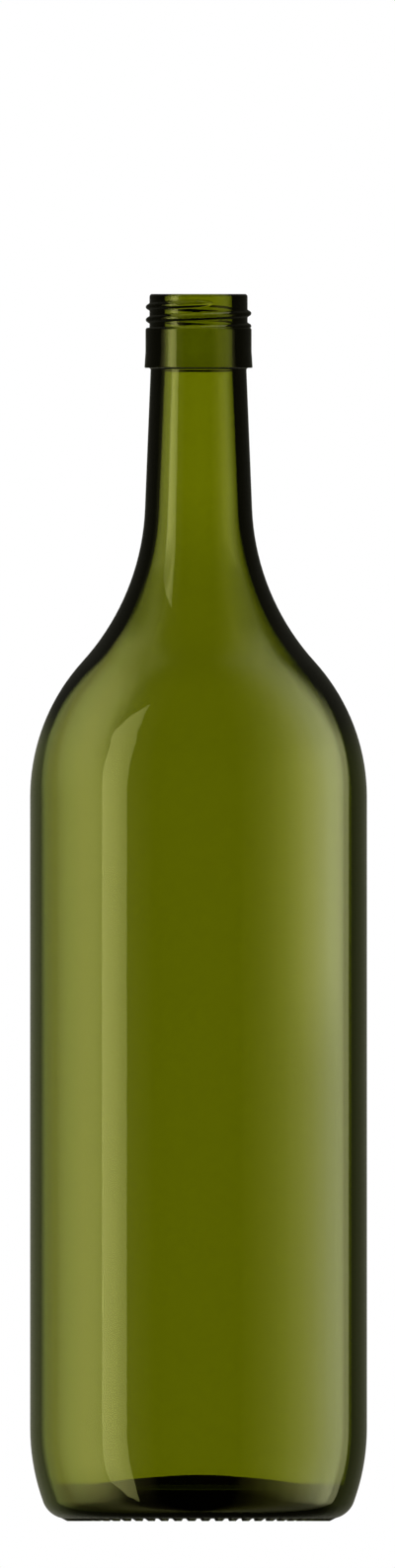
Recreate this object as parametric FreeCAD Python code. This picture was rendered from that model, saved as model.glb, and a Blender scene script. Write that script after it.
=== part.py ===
import FreeCAD, Part

# One-litre bordeaux bottle in one piece of clear olive glass: a straight round body on a knurled foot,
# high round shoulders, a long slightly tapered neck, and a mouth with a collar and a screw thread.
# Millimetres, +Z up. The origin is on the bottle's axis, in the plane that it stands on.

import math
import os

# ---- Driving dimensions ----
overall_height = 310.3
body_diameter = 85.2
wall = 3.5  # glass all the way from the foot to the collar

# Foot: two arcs turn the body in to a flat bearing ring, round a shallow punt
heel_height = 23.0  # from the bearing ring up to where the body is straight
heel_radius = 54.8  # large arc, below the straight body
toe_radius = 6.5  # small arc, into the bearing ring
bearing_width = 2.6
punt_height = 6.0
punt_edge_radius = 4.0

# Floor inside: a low dome with a trough round it
base_thickness = 6.8  # from the bearing ring up to the trough
floor_rise = 4.4
trough_radius = 22.0
trough_flat = 1.4
floor_corner_radius = 3.0

# Knurl: short bars across the outer edge of the bearing ring, all leaning one way
knurl_count = 60
knurl_start = 2.0  # degrees about +Z, to the first bar
knurl_height = 0.6
knurl_width = 0.95
knurl_chamfer = 0.22
knurl_lean = 20.6  # degrees away from radial
knurl_inner_reach = 1.3  # flat length, inwards from the edge of the bearing ring
knurl_outer_reach = 2.1  # sloping length, outwards until it dies into the toe
knurl_run_out = 26.0  # degrees of that slope

# Shoulder and neck
shoulder_drop = 127.2  # from the mouth down to where the body is straight
shoulder_radius = 51.0
neck_blend_radius = 61.2
neck_taper = 2.32  # degrees, each side
bore_diameter = 17.2

# Mouth
finish_height = 18.7  # from the mouth down to the collar's underside
finish_wall = 3.8
collar_step = 1.0  # how far the collar stands out from the finish
collar_height = 10.2
collar_flare = 0.27  # how far its lower edge stands out further
collar_flare_height = 4.2
collar_top_radius = 0.6
collar_root_radius = 0.5
lip_radius = 0.7

# Thread: one right-handed rounded ridge, which starts below the lip and sinks into the collar
thread_pitch = 3.25
thread_drop = 2.32  # from the mouth down to the ridge's middle at its start
thread_start = -74.0  # degrees about +Z
thread_crest_gap = 0.06  # the crest stays this far inside the collar's face
thread_crest_radius = 0.65
thread_flank = 32.0  # degrees, each side of square
thread_embed = 0.3  # how deep its root goes into the finish
thread_run_in = 22.0  # degrees over which it rises out of the finish
thread_step = 7.5  # degrees between sections of the ridge

# ---- Derived places ----
body_radius = body_diameter / 2
bore_radius = bore_diameter / 2
ring_z = knurl_height
heel_z = ring_z + heel_height
trough_z = ring_z + base_thickness
shoulder_z = overall_height - shoulder_drop
collar_z = overall_height - finish_height
collar_top_z = collar_z + collar_height
neck_radius = bore_radius + wall
finish_radius = bore_radius + finish_wall
collar_radius = finish_radius + collar_step
flare_radius = collar_radius + collar_flare

ORIGIN = FreeCAD.Vector(0, 0, 0)
UP = FreeCAD.Vector(0, 0, 1)


def polar(radius, degrees):
    """A step of this length at this angle in the profile's plane, as a vector."""
    angle = math.radians(degrees)
    return FreeCAD.Vector(radius * math.cos(angle), 0, radius * math.sin(angle))


class Outline:
    """A chain of lines and arcs in the XZ plane, in which X is the distance from the axis."""

    def __init__(self):
        self.edges = []

    def start(self, point):
        self.first = point
        self.end = point

    def line(self, x, z):
        target = FreeCAD.Vector(x, 0, z)
        if target.distanceToPoint(self.end) > 1e-6:
            self.edges.append(Part.LineSegment(self.end, target).toShape())
        self.end = target

    def arc(self, centre, target):
        """The shorter arc about a centre, from the chain's end to the target."""
        middle = (self.end + target) * 0.5 - centre
        middle = centre + middle.normalize() * self.end.distanceToPoint(centre)
        self.edges.append(Part.Arc(self.end, middle, target).toShape())
        self.end = target

    def rounded_corner(self, x, z, next_x, next_z, radius):
        """A line to a corner and an arc round it, after which the chain heads for the next point."""
        corner = FreeCAD.Vector(x, 0, z)
        back = (self.end - corner).normalize()
        ahead = (FreeCAD.Vector(next_x, 0, next_z) - corner).normalize()
        half_angle = back.getAngle(ahead) / 2
        reach = radius / math.tan(half_angle)
        centre = corner + (back + ahead).normalize() * (radius / math.sin(half_angle))
        start = corner + back * reach
        self.line(start.x, start.z)
        self.arc(centre, corner + ahead * reach)

    def revolved(self):
        self.line(self.first.x, self.first.z)
        return Part.Face(Part.Wire(self.edges)).revolve(ORIGIN, UP, 360)


def heel(large_radius, small_radius, floor_z):
    """Two arcs from the upright wall at heel_z to the level of floor_z: (centre, end) of each.

    The large arc shares its centre inside and outside, so that the wall stays even."""
    large_centre = FreeCAD.Vector(body_radius - heel_radius, 0, heel_z)
    span = large_radius - small_radius
    small_z = floor_z + small_radius
    small_centre = FreeCAD.Vector(large_centre.x + math.sqrt(span ** 2 - (heel_z - small_z) ** 2), 0, small_z)
    meeting = large_centre + (small_centre - large_centre) * (large_radius / span)
    foot = FreeCAD.Vector(small_centre.x, 0, floor_z)
    return (large_centre, meeting), (small_centre, foot)


def dome(rim_x, rim_z, rise, edge_radius):
    """A domed disc whose level rim turns up through an edge arc: edge centre, meeting point,
    dome centre and apex."""
    span = (rim_x ** 2 + rise ** 2) / (2 * rise)  # between the two centres
    edge_centre = FreeCAD.Vector(rim_x, 0, rim_z + edge_radius)
    dome_centre = FreeCAD.Vector(0, 0, rim_z + rise - (span - edge_radius))
    meeting = edge_centre + (dome_centre - edge_centre) * (edge_radius / span)
    return edge_centre, meeting, dome_centre, FreeCAD.Vector(0, 0, rim_z + rise)


def shoulder(offset):
    """The two shoulder arcs and the tapered neck, this far inside the outer face.

    The convex arc is tangent to the straight body, and the concave arc to it and to the neck."""
    taper = math.radians(neck_taper)
    up_neck = FreeCAD.Vector(-math.sin(taper), 0, math.cos(taper))
    out_of_neck = FreeCAD.Vector(math.cos(taper), 0, math.sin(taper))
    neck_top = FreeCAD.Vector(neck_radius, 0, collar_z)
    convex_centre = FreeCAD.Vector(body_radius - shoulder_radius, 0, shoulder_z)
    # The concave centre lies on a line beside the neck, where it is both radii from the convex one
    beside = neck_top + out_of_neck * neck_blend_radius - convex_centre
    along = beside.dot(up_neck)
    reach = (shoulder_radius + neck_blend_radius) ** 2 - beside.dot(beside) + along ** 2
    down = -along + math.sqrt(reach)
    concave_centre = convex_centre + beside + up_neck * down
    towards_neck = concave_centre - convex_centre
    meeting = convex_centre + towards_neck.normalize() * (shoulder_radius - offset)
    neck_foot = concave_centre - out_of_neck * (neck_blend_radius + offset)
    head = neck_top - out_of_neck * offset
    return convex_centre, meeting, concave_centre, neck_foot, head


def draw_outside(outline):
    """From the punt's apex, round the foot and up to the collar's underside."""
    (heel_centre, heel_end), (toe_centre, toe_end) = heel(heel_radius, toe_radius, ring_z)
    edge_centre, meeting, dome_centre, apex = dome(
        toe_end.x - bearing_width, ring_z, punt_height, punt_edge_radius)
    outline.start(apex)
    outline.arc(dome_centre, meeting)
    outline.arc(edge_centre, FreeCAD.Vector(edge_centre.x, 0, ring_z))
    outline.line(toe_end.x, ring_z)
    outline.arc(toe_centre, heel_end)
    outline.arc(heel_centre, FreeCAD.Vector(body_radius, 0, heel_z))
    outline.line(body_radius, shoulder_z)
    convex_centre, meeting, concave_centre, neck_foot, neck_top = shoulder(0)
    outline.arc(convex_centre, meeting)
    outline.arc(concave_centre, neck_foot)
    outline.rounded_corner(neck_top.x, collar_z, flare_radius, collar_z, collar_root_radius)


def draw_mouth(outline):
    """Round the collar, up the finish that carries the thread, and over the lip into the bore."""
    outline.line(flare_radius, collar_z)
    outline.line(collar_radius, collar_z + collar_flare_height)
    outline.rounded_corner(collar_radius, collar_top_z, finish_radius, collar_top_z, collar_top_radius)
    outline.line(finish_radius, collar_top_z)
    outline.rounded_corner(finish_radius, overall_height, bore_radius, overall_height, lip_radius)
    outline.rounded_corner(bore_radius, overall_height, bore_radius, collar_z, lip_radius)


def draw_inside(outline):
    """Down the neck, the shoulder and the body, and in over the floor to the axis."""
    convex_centre, meeting, concave_centre, neck_foot, neck_top = shoulder(wall)
    outline.line(bore_radius, neck_top.z)
    outline.line(neck_top.x, neck_top.z)
    outline.line(neck_foot.x, neck_foot.z)
    outline.arc(concave_centre, meeting)
    outline.arc(convex_centre, FreeCAD.Vector(body_radius - wall, 0, shoulder_z))
    outline.line(body_radius - wall, heel_z)
    (heel_centre, heel_end), (corner_centre, corner_end) = heel(
        heel_radius - wall, floor_corner_radius, trough_z)
    outline.arc(heel_centre, heel_end)
    outline.arc(corner_centre, corner_end)
    edge_centre, meeting, dome_centre, apex = dome(
        corner_end.x - trough_flat, trough_z, floor_rise, trough_radius)
    outline.line(edge_centre.x, trough_z)
    outline.arc(edge_centre, meeting)
    outline.arc(dome_centre, apex)


def glass_body():
    """Everything but the thread and the knurl, as one outline turned about the axis."""
    outline = Outline()
    draw_outside(outline)
    draw_mouth(outline)
    draw_inside(outline)
    return outline.revolved()


def ridge_section(sink):
    """The thread's ridge cut square, in the XZ plane about Z = 0, this deep inside its full height."""
    crest_x = collar_radius - thread_crest_gap - thread_crest_radius
    root_x = finish_radius - thread_embed
    flank = polar(thread_crest_radius, 90 - thread_flank)
    flank_x = crest_x + flank.x
    root_half = thread_root_half_width()
    low_root = FreeCAD.Vector(root_x - sink, 0, -root_half)
    low_flank = FreeCAD.Vector(flank_x - sink, 0, -flank.z)
    crest = FreeCAD.Vector(crest_x + thread_crest_radius - sink, 0, 0)
    high_flank = FreeCAD.Vector(flank_x - sink, 0, flank.z)
    high_root = FreeCAD.Vector(root_x - sink, 0, root_half)
    return Part.Wire([
        Part.LineSegment(low_root, low_flank).toShape(),
        Part.Arc(low_flank, crest, high_flank).toShape(),
        Part.LineSegment(high_flank, high_root).toShape(),
        Part.LineSegment(high_root, low_root).toShape(),
    ])


def thread_root_half_width():
    """Half the ridge's width at its buried root: the flanks leave the rounded crest as tangents."""
    flank = polar(thread_crest_radius, 90 - thread_flank)
    flank_x = collar_radius - thread_crest_gap - thread_crest_radius + flank.x
    return flank.z + (flank_x - finish_radius + thread_embed) * math.tan(math.radians(thread_flank))


def thread():
    """The ridge, lofted through sections set along its helix, from its upper end down."""
    upper_z = overall_height - thread_drop
    lower_z = collar_top_z - thread_root_half_width()  # where the collar has swallowed it
    turn = (upper_z - lower_z) / thread_pitch * 360
    height = collar_radius - thread_crest_gap - finish_radius + thread_embed
    steps = math.ceil(turn / thread_step)
    sections = []
    for step in range(steps + 1):
        turned = turn * step / steps
        # The ridge rises out of the finish on a smooth curve over its run-in
        rise = math.sin(math.pi / 2 * min(1, turned / thread_run_in))
        section = ridge_section(height * (1 - rise))
        section.rotate(ORIGIN, UP, thread_start - turned)
        section.translate(UP * (upper_z - thread_pitch * turned / 360))
        sections.append(section)
    return Part.makeLoft(sections, True, False)


def knurl_bar():
    """One bar, pointing along +X from the origin, with its tip at Z = 0 and its back in the glass."""
    slope_end = knurl_outer_reach * math.tan(math.radians(knurl_run_out))
    back_z = slope_end + knurl_height
    side = Part.makePolygon([
        FreeCAD.Vector(-knurl_inner_reach, -knurl_width / 2, back_z),
        FreeCAD.Vector(-knurl_inner_reach, -knurl_width / 2, 0),
        FreeCAD.Vector(0, -knurl_width / 2, 0),
        FreeCAD.Vector(knurl_outer_reach, -knurl_width / 2, slope_end),
        FreeCAD.Vector(knurl_outer_reach, -knurl_width / 2, back_z),
        FreeCAD.Vector(-knurl_inner_reach, -knurl_width / 2, back_z),
    ])
    bar = Part.Face(side).extrude(FreeCAD.Vector(0, knurl_width, 0))
    worn_edges = []
    for edge in bar.Edges:
        middle = edge.CenterOfMass
        along_a_side = abs(abs(middle.y) - knurl_width / 2) < 1e-6
        at_inner_end = abs(middle.x + knurl_inner_reach) < 1e-6
        if middle.z < back_z / 2 + 1e-6 and (along_a_side or at_inner_end):
            worn_edges.append(edge)
    return bar.makeChamfer(knurl_chamfer, worn_edges)


def knurl():
    """All the bars, each leaning the same way across the outer edge of the bearing ring."""
    toe = heel(heel_radius, toe_radius, ring_z)[1]
    bars = []
    for number in range(knurl_count):
        bar = knurl_bar()
        bar.rotate(ORIGIN, UP, -knurl_lean)
        bar.translate(FreeCAD.Vector(toe[1].x, 0, 0))
        bar.rotate(ORIGIN, UP, knurl_start + 360 / knurl_count * number)
        bars.append(bar)
    return bars


bottle = glass_body().fuse([thread()] + knurl())
os.makedirs("parts", exist_ok=True)
bottle.exportStep("parts/bottle.step")
box = bottle.optimalBoundingBox()
print(len(bottle.Solids), "solid, valid:", bottle.isValid())
print("glass", round(bottle.Volume / 1000, 1), "ml")
print("size", round(box.XLength, 2), round(box.YLength, 2), round(box.ZLength, 2), "mm")
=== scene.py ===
# %% [markdown]
# # A bordeaux wine bottle in olive glass
# An empty one-litre bottle stands in a bright studio: one piece of clear glass, with a knurled foot,
# high round shoulders, a long neck and a screw-thread mouth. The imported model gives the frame, in
# metres, with its origin on the bottle's axis in the plane that it stands on.

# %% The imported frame
import math

import bmesh
import bpy
from mathutils import Matrix, Vector


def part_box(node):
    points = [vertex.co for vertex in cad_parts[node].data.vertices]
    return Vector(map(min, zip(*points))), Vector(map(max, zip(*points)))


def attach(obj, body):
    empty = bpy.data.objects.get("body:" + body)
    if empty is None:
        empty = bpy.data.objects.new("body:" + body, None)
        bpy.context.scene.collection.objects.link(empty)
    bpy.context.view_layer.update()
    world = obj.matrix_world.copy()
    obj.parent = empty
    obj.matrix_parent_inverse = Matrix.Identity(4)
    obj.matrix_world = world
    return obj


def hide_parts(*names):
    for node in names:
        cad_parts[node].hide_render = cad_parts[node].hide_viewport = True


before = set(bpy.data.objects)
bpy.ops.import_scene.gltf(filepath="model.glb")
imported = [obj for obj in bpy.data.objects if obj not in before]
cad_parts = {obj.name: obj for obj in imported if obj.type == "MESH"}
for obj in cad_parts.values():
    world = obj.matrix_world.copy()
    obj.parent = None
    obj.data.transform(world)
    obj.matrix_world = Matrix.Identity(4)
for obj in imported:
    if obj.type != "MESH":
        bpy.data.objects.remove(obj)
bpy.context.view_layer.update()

bottle_low, bottle_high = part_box("bottle")

# %% [markdown]
# ## Sizes
# Glass shows its inner wall as plainly as its outer one, so both are drawn here from the same named
# sizes as the solid. The height and the body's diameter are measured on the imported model, and the
# rest are the mould's own dimensions, written in millimetres and turned into metres.

# %% Sizes
MM = 0.001
overall_height = bottle_high.z
body_radius = (bottle_high.x - bottle_low.x) / 2
wall = 3.5 * MM

ring_z = 0.6 * MM  # the bearing ring, which stands on the knurl's bars
heel_z = ring_z + 23.0 * MM
heel_radius = 54.8 * MM
toe_radius = 6.5 * MM
bearing_width = 2.6 * MM
punt_height = 6.0 * MM
punt_edge_radius = 4.0 * MM

trough_z = ring_z + 6.8 * MM
floor_rise = 4.4 * MM
trough_radius = 22.0 * MM
trough_flat = 1.4 * MM
floor_corner_radius = 3.0 * MM

shoulder_z = overall_height - 127.2 * MM
shoulder_radius = 51.0 * MM
neck_blend_radius = 61.2 * MM
neck_taper = math.radians(2.32)
bore_radius = 8.6 * MM
neck_radius = bore_radius + wall

collar_z = overall_height - 18.7 * MM
collar_top_z = collar_z + 10.2 * MM
finish_radius = bore_radius + 3.8 * MM
collar_radius = finish_radius + 1.0 * MM
flare_radius = collar_radius + 0.27 * MM
flare_height = 4.2 * MM
print("body radius", round(body_radius, 5), "and bore radius", round(bore_radius, 5))
print("shoulder at", round(shoulder_z, 5), "and collar at", round(collar_z, 5))

# %% [markdown]
# ## Drawing an outline
# A bottle is a figure of revolution, so nearly all of it is one outline turned about the axis. The
# outline could come from a curve, but a chain of mesh edges keeps control of how closely each stretch
# is divided. The chain grows from its last vertex: an extrusion and a move make a line, and spinning
# the vertex about a centre makes an arc, so that the arcs are true and meet their lines as tangents.

# %% The outline's pen
class Outline:
    """A chain of edges in the XZ plane, in which X is the distance from the axis."""

    def __init__(self, point):
        self.mesh = bmesh.new()
        self.tip = self.mesh.verts.new(point)

    def line(self, x, z, steps=1):
        step = (Vector((x, 0, z)) - self.tip.co) / steps
        for _ in range(steps):
            grown = bmesh.ops.extrude_vert_indiv(self.mesh, verts=[self.tip])
            self.tip = grown["verts"][0]
            bmesh.ops.translate(self.mesh, vec=step, verts=[self.tip])

    def arc(self, centre, target, steps):
        """The shorter arc about a centre, from the chain's end to the target."""
        start, end = self.tip.co - centre, target - centre
        angle = math.atan2(start.z * end.x - start.x * end.z, start.dot(end))
        spun = bmesh.ops.spin(self.mesh, geom=[self.tip], cent=centre, axis=(0, 1, 0),
                              angle=angle, steps=steps)
        self.tip = [item for item in spun["geom_last"] if isinstance(item, bmesh.types.BMVert)][0]

    def rounded_corner(self, x, z, next_x, next_z, radius, steps=5, before=1):
        """A line to a corner and an arc round it, after which the chain heads for the next point."""
        corner = Vector((x, 0, z))
        back = (self.tip.co - corner).normalized()
        ahead = (Vector((next_x, 0, next_z)) - corner).normalized()
        half_angle = back.angle(ahead) / 2
        reach = radius / math.tan(half_angle)
        centre = corner + (back + ahead).normalized() * (radius / math.sin(half_angle))
        start = corner + back * reach
        self.line(start.x, start.z, before)
        self.arc(centre, corner + ahead * reach, steps)

# %% [markdown]
# ## The arcs of the foot, the domes and the shoulder
# The mould is drawn with arcs that touch. Each function here solves one such run and gives its
# centres and meeting points, so that the outside and the inside come from the same few sizes.

# %% Touching arcs
def heel(large_radius, small_radius, floor_z):
    """Two arcs from the upright wall at heel_z to the level of floor_z: (centre, end) of each."""
    large_centre = Vector((body_radius - heel_radius, 0, heel_z))
    span = large_radius - small_radius
    small_z = floor_z + small_radius
    small_x = large_centre.x + math.sqrt(span ** 2 - (heel_z - small_z) ** 2)
    small_centre = Vector((small_x, 0, small_z))
    meeting = large_centre + (small_centre - large_centre) * (large_radius / span)
    return (large_centre, meeting), (small_centre, Vector((small_x, 0, floor_z)))


def dome(rim_x, rim_z, rise, edge_radius):
    """A domed disc whose level rim turns up through an edge arc."""
    span = (rim_x ** 2 + rise ** 2) / (2 * rise)
    edge_centre = Vector((rim_x, 0, rim_z + edge_radius))
    dome_centre = Vector((0, 0, rim_z + rise - (span - edge_radius)))
    meeting = edge_centre + (dome_centre - edge_centre) * (edge_radius / span)
    return edge_centre, meeting, dome_centre, Vector((0, 0, rim_z + rise))


def shoulder(offset):
    """The convex and concave arcs and the tapered neck, this far inside the outer face."""
    up_neck = Vector((-math.sin(neck_taper), 0, math.cos(neck_taper)))
    out_of_neck = Vector((math.cos(neck_taper), 0, math.sin(neck_taper)))
    neck_top = Vector((neck_radius, 0, collar_z))
    convex_centre = Vector((body_radius - shoulder_radius, 0, shoulder_z))
    beside = neck_top + out_of_neck * neck_blend_radius - convex_centre
    along = beside.dot(up_neck)
    reach = (shoulder_radius + neck_blend_radius) ** 2 - beside.length_squared + along ** 2
    concave_centre = convex_centre + beside + up_neck * (math.sqrt(reach) - along)
    meeting = convex_centre + (concave_centre - convex_centre).normalized() * (shoulder_radius - offset)
    neck_foot = concave_centre - out_of_neck * (neck_blend_radius + offset)
    return convex_centre, meeting, concave_centre, neck_foot, neck_top - out_of_neck * offset


print("shoulder arcs meet at", [round(v, 5) for v in shoulder(0)[1]])

# %% [markdown]
# ## The outside, from the punt to the collar
# The foot gets close rows, because the knurl is raised on them. Every corner carries a small arc:
# moulded glass has no knife edges, and smooth shading needs the rows to turn the light.

# %% Outside
(heel_centre, heel_end), (toe_centre, toe_end) = heel(heel_radius, toe_radius, ring_z)
punt_edge, punt_meeting, punt_centre, punt_apex = dome(
    toe_end.x - bearing_width, ring_z, punt_height, punt_edge_radius)
bar_inner_end = toe_end.x - 1.21 * MM
bar_chamfer = 0.22 * MM
bar_end_gap = 0.06 * MM  # between the two rows that make a bar's inner end steep
toe_slope = math.radians(23.0)  # the part of the toe's arc that the bars reach
slope_end = toe_centre + Vector((math.sin(toe_slope), 0, -math.cos(toe_slope))) * toe_radius

outline = Outline(punt_apex)
outline.arc(punt_centre, punt_meeting, steps=8)
outline.arc(punt_edge, Vector((punt_edge.x, 0, ring_z)), steps=6)
outline.line(bar_inner_end - bar_end_gap, ring_z, steps=2)
outline.line(bar_inner_end, ring_z)
outline.line(bar_inner_end + bar_chamfer, ring_z)
outline.line(toe_end.x, ring_z, steps=3)
outline.arc(toe_centre, slope_end, steps=9)
outline.arc(toe_centre, heel_end, steps=9)
outline.arc(heel_centre, Vector((body_radius, 0, heel_z)), steps=9)
outline.line(body_radius, shoulder_z, steps=3)
convex_centre, meeting, concave_centre, neck_foot, neck_top = shoulder(0)
outline.arc(convex_centre, meeting, steps=18)
outline.arc(concave_centre, neck_foot, steps=18)
outline.rounded_corner(neck_top.x, collar_z, flare_radius, collar_z, radius=0.5 * MM)
print(len(outline.mesh.verts), "rows up to the collar")

# %% [markdown]
# ## The mouth
# A screw cap is rolled in under the collar, and above that the finish carries the thread. The
# finish is divided closely, since the thread is raised on its rows.

# %% Mouth
thread_row = 0.19 * MM
finish_rows = round((overall_height - collar_top_z) / thread_row)

outline.rounded_corner(flare_radius, collar_z, collar_radius, collar_z + flare_height, radius=0.3 * MM)
outline.line(collar_radius, collar_z + flare_height, steps=2)
outline.rounded_corner(collar_radius, collar_top_z, finish_radius, collar_top_z, radius=0.6 * MM, steps=6)
outline.rounded_corner(finish_radius, collar_top_z, finish_radius, overall_height, radius=0.2 * MM, steps=3)
outline.rounded_corner(finish_radius, overall_height, bore_radius, overall_height,
                       radius=0.7 * MM, steps=6, before=finish_rows)
outline.rounded_corner(bore_radius, overall_height, bore_radius, collar_z, radius=0.7 * MM, steps=6, before=2)
print(len(outline.mesh.verts), "rows over the lip")

# %% [markdown]
# ## The inside
# The wall is even, so the inside runs beside the outside a wall's thickness in, down to a thicker
# base with a low dome on it. Real blown glass varies here, which the glass's bump brings back.

# %% Inside
convex_centre, meeting, concave_centre, neck_foot, neck_top = shoulder(wall)
outline.line(bore_radius, neck_top.z, steps=2)
outline.line(neck_foot.x, neck_foot.z, steps=3)
outline.arc(concave_centre, meeting, steps=16)
outline.arc(convex_centre, Vector((body_radius - wall, 0, shoulder_z)), steps=16)
outline.line(body_radius - wall, heel_z, steps=3)
(heel_centre, heel_end), (corner_centre, corner_end) = heel(heel_radius - wall, floor_corner_radius, trough_z)
outline.arc(heel_centre, heel_end, steps=7)
outline.arc(corner_centre, corner_end, steps=5)
floor_edge, floor_meeting, floor_centre, floor_apex = dome(
    corner_end.x - trough_flat, trough_z, floor_rise, trough_radius)
outline.line(floor_edge.x, trough_z)
outline.arc(floor_edge, floor_meeting, steps=6)
outline.arc(floor_centre, floor_apex, steps=7)
print(len(outline.mesh.verts), "rows in the whole outline")

# %% [markdown]
# ## Turning the outline
# The foot has sixty bars, so the outline is first turned through a sixtieth of a circle, in seven
# unequal steps that fall on a bar's edges, and that slice is then repeated round the axis. Turning
# it in equal steps would need several times as many faces to catch the same bars. The doubles along
# the seams and at the two poles are merged before the normals are worked out.

# %% Turn the outline
knurl_count = 60
knurl_lean = math.radians(20.6)  # away from radial
knurl_start = math.radians(2.0)  # a bar's place about +Z
bar_edges = [0.255 * MM, 0.46 * MM, 0.50 * MM]  # across the bar: flat top, worn edge, foot of its side
bar_pitch = math.tau / knurl_count
across_to_angle = 1 / (toe_end.x * math.cos(knurl_lean))
edge_angles = [across * across_to_angle for across in bar_edges]
slice_angles = [-angle for angle in reversed(edge_angles)] + edge_angles + [bar_pitch / 2]

glass = outline.mesh
first = knurl_start - bar_pitch / 2
bmesh.ops.rotate(glass, verts=glass.verts[:], cent=(0, 0, 0), matrix=Matrix.Rotation(first, 3, "Z"))
rim = glass.edges[:]
turned = -bar_pitch / 2
for angle in slice_angles:
    spun = bmesh.ops.spin(glass, geom=rim, cent=(0, 0, 0), axis=(0, 0, 1), angle=angle - turned, steps=1)
    rim = [item for item in spun["geom_last"] if isinstance(item, bmesh.types.BMEdge)]
    turned = angle
slice_geometry = glass.verts[:] + glass.edges[:] + glass.faces[:]
bmesh.ops.spin(glass, geom=slice_geometry, cent=(0, 0, 0), axis=(0, 0, 1),
               angle=math.tau - bar_pitch, steps=knurl_count - 1, use_duplicate=True)
bmesh.ops.remove_doubles(glass, verts=glass.verts[:], dist=2e-6)
print(len(glass.verts), "vertices,", len(glass.faces), "faces")

# %% [markdown]
# ## The knurl
# Short bars stand on the outer edge of the bearing ring, all leaning the same way, and keep the hot
# bottle off the belt. Sixty loose blocks would leave walls inside the glass, which would catch the
# light, so the bars are pushed down out of the ring's own rows. The rows are first turned a little
# about the axis, each by what the lean asks at its radius, so that they follow the bars.

# %% Raise the knurl
bar_inner_reach = 1.3 * MM
bar_outer_reach = 2.1 * MM
bar_slope = math.tan(math.radians(26.0))
lean_from_radius = 24 * MM  # further in, the rows stay as they are
lean_full_up_to = 1.2 * MM  # height up to which the rows follow the bars all the way
lean_fades_at = 7.0 * MM  # height by which they are straight again
tolerance = 0.01 * MM


def along_bar(radius):
    """How far along a bar, from the bearing ring's edge outwards, it crosses this radius."""
    sideways = toe_end.x * math.sin(knurl_lean)
    return math.sqrt(radius ** 2 - sideways ** 2) - toe_end.x * math.cos(knurl_lean)


def lean_at(radius):
    along = along_bar(radius)
    return math.atan2(-along * math.sin(knurl_lean), toe_end.x + along * math.cos(knurl_lean))


raised = 0
for vertex in glass.verts:
    radius = vertex.co.xy.length
    if vertex.co.z > lean_fades_at or radius < lean_from_radius:
        continue
    along = along_bar(radius)
    if along < -bar_inner_reach:
        fade = (radius - lean_from_radius) / (bar_inner_end - lean_from_radius)
    else:
        fade = min(1, (lean_fades_at - vertex.co.z) / (lean_fades_at - lean_full_up_to))
    angle = (math.atan2(vertex.co.y, vertex.co.x) - knurl_start + bar_pitch / 2) % bar_pitch - bar_pitch / 2
    across = abs(angle) / across_to_angle
    if -bar_inner_reach - tolerance < along < bar_outer_reach and across < bar_edges[2] - tolerance:
        worn = max(0, across - bar_edges[0], -along - bar_inner_reach + bar_chamfer)
        bar_z = max(0, along) * bar_slope + worn
        raised += bar_z < vertex.co.z
        vertex.co.z = min(vertex.co.z, bar_z)
    vertex.co.rotate(Matrix.Rotation(lean_at(radius) * fade, 3, "Z"))
print(raised, "vertices raised for", knurl_count, "bars")

# %% [markdown]
# ## The thread
# One rounded ridge rises out of the finish below the lip, winds down to the left across the front, as a
# right-handed thread does, and sinks into the collar. It could be a swept tube joined by a Boolean, but
# the join would leave ragged triangles that glass shows at once. The finish's close rows are moved
# outwards to the ridge's section instead.

# %% Raise the thread
thread_pitch = 3.25 * MM
thread_upper_z = overall_height - 2.32 * MM
thread_start = math.radians(-74.0)
crest_radius = 0.65 * MM
thread_flank = math.radians(32.0)
thread_run_in = math.radians(22.0)  # the turn over which it rises out of the finish
crest_gap = 0.06 * MM  # the crest stays this far inside the collar's face
lip_clearance = 0.4 * MM
buried_depth = 1.2 * MM  # how far below the collar's top the ridge is followed
crest_x = collar_radius - crest_gap - crest_radius
flank_half = crest_radius * math.cos(thread_flank)
flank_x = crest_x + crest_radius * math.sin(thread_flank)
full_height = crest_x + crest_radius - finish_radius
last_turn = (thread_upper_z - collar_top_z + buried_depth) / thread_pitch * math.tau
finish_inside = finish_radius - 0.2 * MM  # what is nearer the axis belongs to the bore


def ridge_radius(off_middle):
    """The ridge's distance from the axis, this far above or below its middle."""
    off = abs(off_middle)
    if off < flank_half:
        return crest_x + math.sqrt(crest_radius ** 2 - off ** 2)
    return flank_x - (off - flank_half) / math.tan(thread_flank)


raised = 0
for vertex in glass.verts:
    radius = vertex.co.xy.length
    if radius <= finish_inside or not collar_top_z - tolerance < vertex.co.z < overall_height - lip_clearance:
        continue
    turned = (thread_start - math.atan2(vertex.co.y, vertex.co.x)) % math.tau
    while turned < last_turn:
        middle_z = thread_upper_z - thread_pitch * turned / math.tau
        sink = full_height * (1 - math.sin(math.pi / 2 * min(1, turned / thread_run_in)))
        ridge = ridge_radius(vertex.co.z - middle_z) - sink
        if ridge > radius:
            vertex.co.xy *= ridge / radius
            radius = ridge
            raised += 1
        turned += math.tau
print(raised, "vertices raised for the thread, over", round(last_turn / math.tau, 2), "turns")

# %% [markdown]
# ## The finished piece
# The shell is closed, so its normals can be made to point out of the glass, which is outwards on
# the outer face and into the hollow on the inner one. The absorption inside depends on that.
# Mirrored rays pass the bottle by. Otherwise they run on inside the wall from bounce to bounce, and
# the sides, which are nearly black in thick olive glass, come out bright and noisy.

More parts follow.
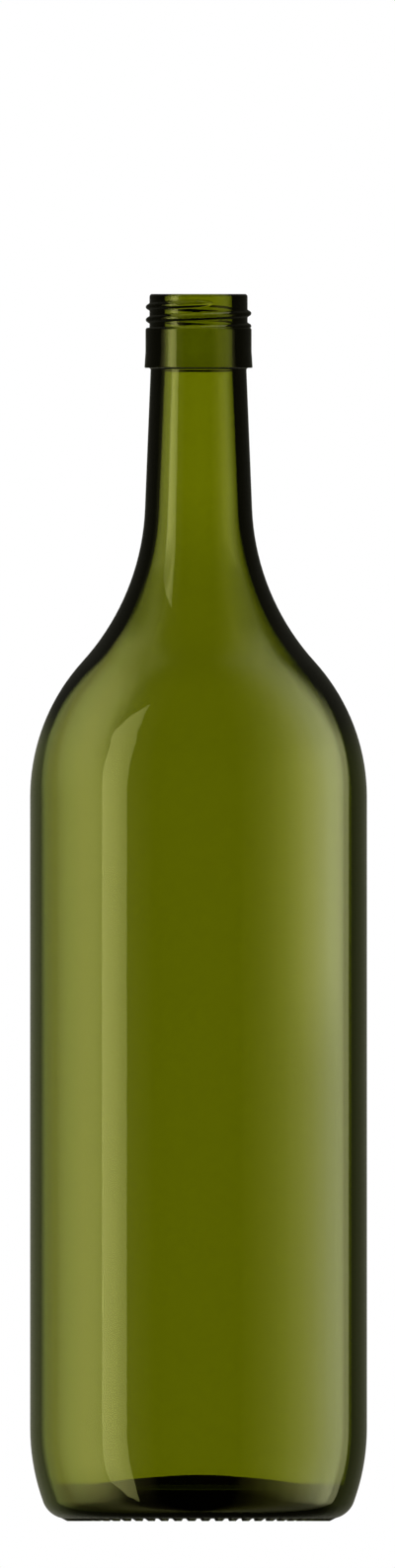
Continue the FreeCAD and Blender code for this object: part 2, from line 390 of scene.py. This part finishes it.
# %% Make the piece
bmesh.ops.recalc_face_normals(glass, faces=glass.faces[:])
open_edges = sum(not edge.is_manifold for edge in glass.edges)
volume = glass.calc_volume(signed=True)
mesh = bpy.data.meshes.new("bottle_glass")
glass.to_mesh(mesh)
glass.free()
for polygon in mesh.polygons:
    polygon.use_smooth = True
bottle_glass = bpy.data.objects.new("bottle_glass", mesh)
bpy.context.scene.collection.objects.link(bottle_glass)
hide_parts("bottle")
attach(bottle_glass, "root")
bottle_glass.visible_glossy = False
mesh.calc_loop_triangles()
print(len(mesh.loop_triangles), "triangles and", open_edges, "open edges")
print(round(volume * 1e6, 1), "ml of glass")

# %% [markdown]
# ## Shader graphs in Python
# A material is a graph of nodes, and written link by link it is hard to read. Here a socket is
# wrapped so that ordinary arithmetic adds the Math nodes, and one method adds any other node from
# its type, its settings and what its sockets take.

# %% Graph helpers
class Signal:
    """An output socket that Python's operators can work on."""

    def __init__(self, graph, socket):
        self.graph = graph
        self.socket = socket

    def __add__(self, other):
        return self.graph.maths("ADD", self, other)

    def __sub__(self, other):
        return self.graph.maths("SUBTRACT", self, other)

    def __mul__(self, other):
        return self.graph.maths("MULTIPLY", self, other)

    def __truediv__(self, other):
        return self.graph.maths("DIVIDE", self, other)

    def __rsub__(self, other):
        return self.graph.maths("SUBTRACT", other, self)

    def __rtruediv__(self, other):
        return self.graph.maths("DIVIDE", other, self)

    __radd__ = __add__
    __rmul__ = __mul__

    def outputs(self, *names):
        """The named outputs of the node that this socket belongs to."""
        return [Signal(self.graph, self.socket.node.outputs[name]) for name in names]


class Graph:
    """The nodes of one material, lamp or world."""

    def __init__(self, owner):
        owner.use_nodes = True
        self.tree = owner.node_tree
        self.tree.nodes.clear()

    def add(self, kind, inputs=None, out=0, **settings):
        node = self.tree.nodes.new(kind)
        stops = settings.pop("stops", None)
        for name, value in settings.items():
            setattr(node, name, value)
        if stops:
            ramp = node.color_ramp
            while len(ramp.elements) < len(stops):
                ramp.elements.new(1)
            for element, (place, colour) in zip(ramp.elements, stops):
                element.position = place
                element.color = (*colour, 1) if isinstance(colour, tuple) else (colour, colour, colour, 1)
        for name, value in (inputs or {}).items():
            if isinstance(value, Signal):
                self.tree.links.new(value.socket, node.inputs[name])
            else:
                node.inputs[name].default_value = value
        return Signal(self, node.outputs[out]) if node.outputs else node

    def maths(self, operation, first, second=0.0, clamp=False):
        return self.add("ShaderNodeMath", {0: first, 1: second}, operation=operation, use_clamp=clamp)

# %% [markdown]
# ## Olive glass
# The colour sits in the glass and not on it, so it comes from absorption in the volume: a wall seen
# square on is light olive, and one seen along its length goes almost black. Two walls of this bottle
# let through about a tenth of the red and green light and hardly any blue. Slow waves stand for the
# unevenness of blown glass, and fine stipple roughens the foot, where it is dragged along the belt.

# %% Glass
glass_material = bpy.data.materials.new("olive_glass")
graph = Graph(glass_material)
place = graph.add("ShaderNodeTexCoord", out="Object")
height = graph.add("ShaderNodeSeparateXYZ", {0: place}, out="Z")

wave_height = 0.05 * MM
stipple_height = 0.10 * MM
stipple_up_to = 3.2 * MM
stretched = graph.add("ShaderNodeMapping", {"Vector": place, "Scale": (1, 1, 0.25)})
waves = graph.add("ShaderNodeTexNoise", {"Vector": stretched, "Scale": 28.0, "Detail": 1.0}, out="Fac")
near_foot = graph.maths("SUBTRACT", 1.0, height / stipple_up_to, clamp=True)
stipple = graph.add("ShaderNodeTexNoise", {"Vector": place, "Scale": 2600.0, "Detail": 2.0}, out="Fac")
relief = waves * wave_height + stipple * near_foot * stipple_height
bump = graph.add("ShaderNodeBump", {"Height": relief, "Strength": 1.0, "Distance": 1.0})
# The glass is tinted a little darker up the body than in the neck, and changes between these two heights.
body_to_neck = graph.add("ShaderNodeMapRange", {
    "Value": height, "From Min": 235 * MM, "From Max": 262 * MM, "To Min": 0.88, "To Max": 1.0})
shader = graph.add("ShaderNodeBsdfPrincipled", {
    "Base Color": body_to_neck,
    "Roughness": near_foot * 0.25,
    "IOR": 1.52,
    "Transmission Weight": 1.0,
    "Specular Tint": (1, 1, 0.4, 1),
    "Normal": bump,
})
colour = graph.add("ShaderNodeVolumeAbsorption", {"Color": (0.7353, 0.7571, 0.01, 1), "Density": 1050.0})
graph.add("ShaderNodeOutputMaterial", {"Surface": shader, "Volume": colour})
mesh.materials.append(glass_material)
print(len(graph.tree.nodes), "nodes in", glass_material.name)

# %% [markdown]
# ## Levels over angles
# Glass has hardly a colour of its own in reflection: what one sees on it is the room. So the room is
# drawn as levels over two angles, the compass bearing away from the front and the rise above the
# level. A ramp takes such a list directly, when it is told which angles are its two ends.

# %% Ramps over a span
def ramp_over(graph, value, lowest, highest, levels):
    """A ramp from levels given at places between lowest and highest; clamps outside them."""
    span = highest - lowest
    return graph.add("ShaderNodeValToRGB", {"Fac": (value - lowest) / span},
                     stops=[((place - lowest) / span, level) for place, level in levels])


def faded(graph, value, start, end, before, after, smooth=True):
    """The level that goes from before to after while the value goes from start to end."""
    return graph.add("ShaderNodeMapRange", {
        "Value": value, "From Min": start, "From Max": end, "To Min": before, "To Max": after},
        interpolation_type="SMOOTHSTEP" if smooth else "LINEAR")


def scaled(colour, factor):
    graph = factor.graph
    return graph.add("ShaderNodeVectorMath", {"Vector": colour, "Scale": factor}, operation="SCALE")


def summed(first, second):
    return first.graph.add("ShaderNodeVectorMath", {0: first, 1: second}, operation="ADD")


def bearing(graph, x, y):
    """Degrees away from the front, to either side."""
    return graph.maths("ARCTAN2", graph.maths("ABSOLUTE", x), y * -1) * (180 / math.pi)


def seen_from_outside(graph):
    """1 for a ray that has not been inside the glass yet, and 0 for one that has."""
    depth = graph.add("ShaderNodeLightPath", out="Transmission Depth")
    return 1 - graph.maths("MINIMUM", depth, 1.0)

# %% [markdown]
# ## The two soft glows
# Two large diffusing screens stand beside the bottle, and each is brightest about square to the side.
# A cylinder mirrors a bearing of 80 degrees two thirds of the way out from its middle, and squeezes
# all bearings past 130 degrees into its last four millimetres, where they give the dark rim its
# grey-green sheen. The right screen ends sharply, and the left one fades. Towards the front and the
# back both are yellower.

# %% Screens
LOWEST_RISE, HIGHEST_RISE = -45, 90

LEFT_GLOW = [  # bearing in degrees, then how strong the red, green and blue are
    (30, (0.03, 0.03, 0.02)), (44, (0.38, 0.36, 0.24)), (52, (0.50, 0.48, 0.37)),
    (60, (0.95, 0.95, 0.72)), (70, (2.85, 2.85, 1.9)), (76, (3.40, 3.44, 2.25)),
    (86, (3.38, 3.40, 1.95)), (100, (2.50, 2.65, 1.25)), (116, (1.18, 1.20, 0.42)),
    (132, (0.76, 0.88, 0.29)), (138, (0.22, 0.25, 0.10)), (176, (0.21, 0.21, 0.17)),
]
RIGHT_GLOW = [
    (28, (0.04, 0.03, 0.02)), (44, (0.60, 0.58, 0.23)), (60, (1.60, 1.64, 0.70)),
    (76, (2.95, 3.00, 1.7)), (86, (3.75, 3.80, 2.55)), (100, (4.10, 4.25, 3.3)),
    (110, (3.75, 3.90, 2.9)), (116.5, (2.8, 2.9, 2.1)), (119.5, (1.62, 1.64, 1.15)),
    (125.3, (1.40, 1.43, 0.9)), (127.5, (0.12, 0.14, 0.04)), (176, (0.15, 0.15, 0.12)),
]
LEFT_RISE = [  # rise in degrees, then how much of the glow is left
    (-45, 0.11), (-34, 0.17), (-20, 0.85), (-14, 1.0), (14, 0.98),
    (30, 0.90), (46, 0.67), (60, 0.22), (90, 0.0),
]
RIGHT_RISE = [
    (-45, 0.13), (-34, 0.17), (-20, 0.90), (4, 1.0), (14, 0.95),
    (22, 0.78), (46, 0.42), (66, 0.18), (90, 0.0),
]


def screen_glow(graph, angle, rise, glow_levels, rise_levels):
    """A ramp holds nothing above white, so the colours go in as shares of the strongest one."""
    peak = max(max(colour) for _, colour in glow_levels)
    shares = [(place, tuple(part / peak for part in colour)) for place, colour in glow_levels]
    strength = ramp_over(graph, rise, LOWEST_RISE, HIGHEST_RISE, rise_levels) * peak
    return scaled(ramp_over(graph, angle, 0, 180, shares), strength)

# %% [markdown]
# ## The room
# Glass shows what is behind it, so a bottle is set against a bright ground. A white backdrop with
# the screens in front of it could be modelled in full, but light sorted by the kind of ray that
# meets it is quicker and quieter. To the camera the room is white, and through the glass
# it is white up to the backdrop's upper edge. A mirrored ray meets the two screens and, high up, a
# weak yellow ceiling. Mirroring inside the wall is left dark, which keeps the walls' edges, the base
# and the thread as deep as real thick glass has them. The pale floor gets a plain even light.

# %% Room
world = bpy.data.worlds.new("studio")
bpy.context.scene.world = world
graph = Graph(world)
direction = graph.add("ShaderNodeSeparateXYZ", {0: graph.add("ShaderNodeTexCoord", out="Generated")})
x, y, z = direction.outputs("X", "Y", "Z")
from_front = bearing(graph, x, y)
rise = graph.maths("ARCSINE", z) * (180 / math.pi)
rise_only = graph.maths("MAXIMUM", rise, 0.0)

screen_middle, left_shift, left_squeeze = 84.0, 0.35, 0.005  # the left screen leans back as it rises
off_middle = from_front - screen_middle - rise_only * left_shift
left_angle = off_middle * (1 - rise_only * left_squeeze) + screen_middle
right_edge, right_spread = 100.0, 0.012  # and the right one's far edge spreads
right_angle = from_front - graph.maths("MAXIMUM", from_front - right_edge, 0.0) * rise_only * right_spread

left = screen_glow(graph, left_angle, rise, LEFT_GLOW, LEFT_RISE)
right = screen_glow(graph, right_angle, rise, RIGHT_GLOW, RIGHT_RISE)
screens = graph.add("ShaderNodeMix", {"Factor": graph.maths("LESS_THAN", x, 0.0), "A": right, "B": left},
                    out="Result", data_type="VECTOR")
ceiling = scaled((1.0, 1.0, 0.08), faded(graph, rise, 30.0, 62.0, 0.0, 0.26, smooth=False))

rays = graph.add("ShaderNodeLightPath")
to_camera, through, glossy = rays.outputs("Is Camera Ray", "Is Transmission Ray", "Is Glossy Ray")
backdrop = graph.maths("ADD", to_camera, through * faded(graph, rise, 5.0, 20.0, 1.0, 0.0), clamp=True)
mirrored = glossy * (1 - to_camera) * (1 - through)
floor_light_level = 0.95
floor_light = (1 - to_camera) * (1 - through) * (1 - glossy) * floor_light_level
light = summed(scaled(summed(screens, ceiling), mirrored * seen_from_outside(graph)), backdrop + floor_light)
graph.add("ShaderNodeOutputWorld", {
    "Surface": graph.add("ShaderNodeBackground", {"Color": light, "Strength": 1.0})})
print(len(graph.tree.nodes), "nodes in the world")

# %% [markdown]
# ## Cards and floor
# Everything round the bottle is staging, and most of it is there for one kind of ray only, so one
# function makes a card and says which rays meet it. The floor is pale and plain. The camera sees it
# edge-on, and in views from above it carries the bottle's shadow.

# %% Floor
def card(name, shape, surface, seen_by):
    """A staging piece that only the named kinds of ray meet."""
    data = bpy.data.meshes.new(name)
    shape.to_mesh(data)
    shape.free()
    data.materials.append(surface)
    made = bpy.data.objects.new(name, data)
    bpy.context.scene.collection.objects.link(made)
    for kind in ("camera", "diffuse", "glossy", "transmission", "shadow"):
        setattr(made, "visible_" + kind, kind in seen_by)
    print(name, "is seen by", ", ".join(seen_by), "rays")


floor_material = bpy.data.materials.new("pale_floor")
graph = Graph(floor_material)
grain = graph.add("ShaderNodeTexNoise", {
    "Vector": graph.add("ShaderNodeTexCoord", out="Object"), "Scale": 40.0, "Detail": 3.0}, out="Fac")
tone = graph.add("ShaderNodeValToRGB", {"Fac": grain}, stops=[(0.0, 0.86), (1.0, 0.90)])
surface = graph.add("ShaderNodeBsdfPrincipled", {
    "Base Color": tone, "Roughness": 0.9, "Specular IOR Level": 0.1})
graph.add("ShaderNodeOutputMaterial", {"Surface": surface})

disc = bmesh.new()
bmesh.ops.create_circle(disc, cap_ends=True, segments=96, radius=4.0)
card("floor", disc, floor_material, seen_by=["camera", "diffuse", "shadow"])

# %% [markdown]
# ## The shade under the foot
# Light hardly reaches the ground beneath a standing bottle, and the thick base shows that as a black
# arch. The floor takes no part in what is seen through the glass, so a small disc stands in for it
# there, dark in the middle and paler towards its rim.

# %% Shade
shade_radius = 44 * MM
shade_gap = 0.1 * MM  # below the bars' tips

shade_material = bpy.data.materials.new("foot_shade")
graph = Graph(shade_material)
from_axis = graph.add("ShaderNodeVectorMath", {0: graph.add("ShaderNodeTexCoord", out="Object")},
                      out="Value", operation="LENGTH")
shade_level = faded(graph, from_axis, shade_radius / 2, shade_radius, 0.08, 0.8)
shade = graph.add("ShaderNodeEmission", {"Color": scaled((1.0, 1.0, 0.8), shade_level), "Strength": 1.0})
graph.add("ShaderNodeOutputMaterial", {"Surface": shade})

disc = bmesh.new()
bmesh.ops.create_circle(disc, cap_ends=True, segments=96, radius=shade_radius)
bmesh.ops.translate(disc, vec=(0, 0, -shade_gap), verts=disc.verts[:])
card("shade_under_foot", disc, shade_material, seen_by=["transmission"])

# %% [markdown]
# ## The strip light
# A tall softbox stands to the front left and draws the crisp strip on the body and the neck. It is
# flat and near, unlike the screens, which is why the strip bends to a point on the shoulder and above
# the foot. It is brightest towards the side and level with the foot, and weaker above and below. Its
# card hides the left screen behind it, so its own level already holds the screen's share.

# %% Strip light
strip_y = -0.68
strip_near_bearing, strip_far_bearing = math.radians(49.2), math.radians(69.6)
strip_near = strip_y * math.tan(strip_near_bearing)
strip_far = strip_y * math.tan(strip_far_bearing)
strip_low, strip_high = -0.78, 1.44
strip_strength = 5.6

strip_material = bpy.data.materials.new("strip_light")
graph = Graph(strip_material)
place = graph.add("ShaderNodeSeparateXYZ", {0: graph.add("ShaderNodeTexCoord", out="Object")})
sideways, upwards = place.outputs("X", "Z")
across = ramp_over(graph, sideways, strip_near, strip_far, [
    (strip_near + share * (strip_far - strip_near), level)
    for share, level in [(0.0, 0.45), (0.3, 0.70), (0.6, 0.81), (0.78, 0.85), (0.92, 1.0)]])
along = ramp_over(graph, upwards, -0.8, 1.4, [
    (-0.8, 0.60), (-0.36, 0.92), (0.0, 1.0), (0.35, 0.96), (0.67, 0.86), (0.96, 0.74), (1.4, 0.66)])
strip_level = across * along * seen_from_outside(graph)
strip_glow = graph.add("ShaderNodeEmission", {
    "Color": scaled((1.0, 1.0, 0.78), strip_level), "Strength": strip_strength})
graph.add("ShaderNodeOutputMaterial", {"Surface": strip_glow})

sheet = bmesh.new()
edge = bmesh.ops.extrude_vert_indiv(sheet, verts=[sheet.verts.new((strip_near, strip_y, strip_low))])
bmesh.ops.translate(sheet, vec=(strip_far - strip_near, 0, 0), verts=edge["verts"])
raised_edge = bmesh.ops.extrude_edge_only(sheet, edges=sheet.edges[:])
bmesh.ops.translate(sheet, vec=(0, 0, strip_high - strip_low),
                    verts=[item for item in raised_edge["geom"] if isinstance(item, bmesh.types.BMVert)])
card("strip_light", sheet, strip_material, seen_by=["glossy"])

# %% [markdown]
# ## The dark sleeve
# In a studio, black card stood close to a neck keeps its sides deep. Cards far away cannot do it
# here: the shoulder and the neck mirror the same bearings, but only the neck is dark. So a sleeve
# follows the bottle's outline, three millimetres off the body and six off the shoulder and the neck,
# and is open at the front. It is drawn as a short chain of edges from below the foot to above the
# mouth, and spun about the axis.

# %% Sleeve
sleeve_left, sleeve_right = 34.0, 16.0  # the bearings of its two front edges
sleeve_rows = [  # radius and height in millimetres
    (46, -60), (46, 190), (44, 204), (36.6, 216), (27.6, 228), (22.4, 240), (19.6, 256), (19.4, 330),
]

sleeve = bmesh.new()
tip = [sleeve.verts.new((sleeve_rows[0][0] * MM, 0, sleeve_rows[0][1] * MM))]
for (radius, height), (next_radius, next_height) in zip(sleeve_rows, sleeve_rows[1:]):
    tip = bmesh.ops.extrude_vert_indiv(sleeve, verts=tip)["verts"]
    bmesh.ops.translate(sleeve, vec=((next_radius - radius) * MM, 0, (next_height - height) * MM), verts=tip)
bmesh.ops.rotate(sleeve, verts=sleeve.verts[:], cent=(0, 0, 0),
                 matrix=Matrix.Rotation(math.radians(-90 - sleeve_left), 3, "Z"))
bmesh.ops.spin(sleeve, geom=sleeve.verts[:] + sleeve.edges[:], cent=(0, 0, 0), axis=(0, 0, 1),
               angle=-math.radians(360 - sleeve_left - sleeve_right), steps=96)

# %% [markdown]
# ## How much the sleeve covers
# The sleeve is clear where the body and the shoulder mirror through it, and turns opaque beside the
# neck. Its lower edge hangs further down towards the back. Three more patches go on top: a band
# beside the foot of the neck, a wider cover beside the collar, and a faint veil on the right, low
# down, where the screen's glow is weaker. Mixing clear and dark keeps every edge soft.

# %% Cover
sleeve_material = bpy.data.materials.new("black_sleeve")
graph = Graph(sleeve_material)
place = graph.add("ShaderNodeSeparateXYZ", {0: graph.add("ShaderNodeTexCoord", out="Object")})
x, y, z = place.outputs("X", "Y", "Z")
from_front = bearing(graph, x, y)


def cover_over_bearing(*levels):
    return ramp_over(graph, from_front, 0, 180, levels)


def hanging(start, end, start_bearing, end_bearing, drop):
    """1 above a soft edge between two heights, which hangs lower from one bearing to the other."""
    lowered = z + faded(graph, from_front, start_bearing, end_bearing, 0.0, drop, smooth=False)
    return faded(graph, lowered, start, end, 0.0, 1.0)


left_neck = hanging(220 * MM, 236 * MM, 70.0, 86.0, 26 * MM) * cover_over_bearing(
    (44.5, 0.0), (47.5, 0.52), (50, 0.6), (60, 0.70), (66, 0.94), (74, 1.0), (122, 1.0), (142, 0.0))
right_neck = hanging(212 * MM, 234 * MM, 54.0, 80.0, 24 * MM) * cover_over_bearing(
    (38, 0.0), (46, 0.3), (52, 0.65), (58, 0.92), (64, 1.0), (122, 1.0), (142, 0.0))
neck_foot = faded(graph, z, 222 * MM, 234 * MM, 0.0, 1.0) * faded(graph, z, 242 * MM, 252 * MM, 1.0, 0.0)
neck_foot = neck_foot * cover_over_bearing(
    (28, 0.0), (36, 0.4), (40, 0.56), (48, 0.74), (56, 0.84), (122, 0.84), (142, 0.0))
beside_collar = faded(graph, z, 287 * MM, 292 * MM, 0.0, 1.0)
left_collar = beside_collar * cover_over_bearing((40, 0.0), (43.5, 0.23), (50, 0.65), (55, 0.84), (62, 1.0))
right_collar = beside_collar * cover_over_bearing((28, 0.0), (37, 0.45), (47, 0.67), (54, 0.9), (59, 1.0))
veil = faded(graph, z, 108 * MM, 146 * MM, 1.0, 0.0) * cover_over_bearing(
    (22, 0.0), (28, 0.13), (45, 0.27), (57, 0.27), (62, 0.18), (67, 0.0))

left_cover = graph.maths("MAXIMUM", left_neck, left_collar)
right_cover = graph.maths("MAXIMUM", graph.maths("MAXIMUM", right_neck, right_collar), veil)
on_left = graph.maths("LESS_THAN", x, 0.0)
cover = graph.maths("MAXIMUM", on_left * left_cover + (1 - on_left) * right_cover, neck_foot)
card_level = 0.05
dark = graph.add("ShaderNodeEmission", {
    "Color": scaled((1.0, 1.0, 0.8), seen_from_outside(graph)), "Strength": card_level})
graph.add("ShaderNodeOutputMaterial", {"Surface": graph.add("ShaderNodeMixShader", {
    0: cover, 1: graph.add("ShaderNodeBsdfTransparent"), 2: dark})})
card("neck_sleeve", sleeve, sleeve_material, seen_by=["glossy"])

# %% [markdown]
# ## Camera
# The camera looks level and sees the bottle without perspective, as a long lens far away would. Its
# frame is a little wider than the body, with more room above the mouth than under the foot.

# %% Camera
frame_height = 0.3965
frame_centre_x, frame_centre_z = -0.00026, 0.1864
camera_distance = 1.6

camera_data = bpy.data.cameras.new("camera")
camera_data.type = "ORTHO"
camera_data.ortho_scale = frame_height
camera = bpy.data.objects.new("camera", camera_data)
bpy.context.scene.collection.objects.link(camera)
camera.location = (frame_centre_x, -camera_distance, frame_centre_z)
camera.rotation_euler = (math.radians(90), 0, 0)
bpy.context.scene.camera = camera
bpy.context.scene.view_settings.view_transform = "Standard"
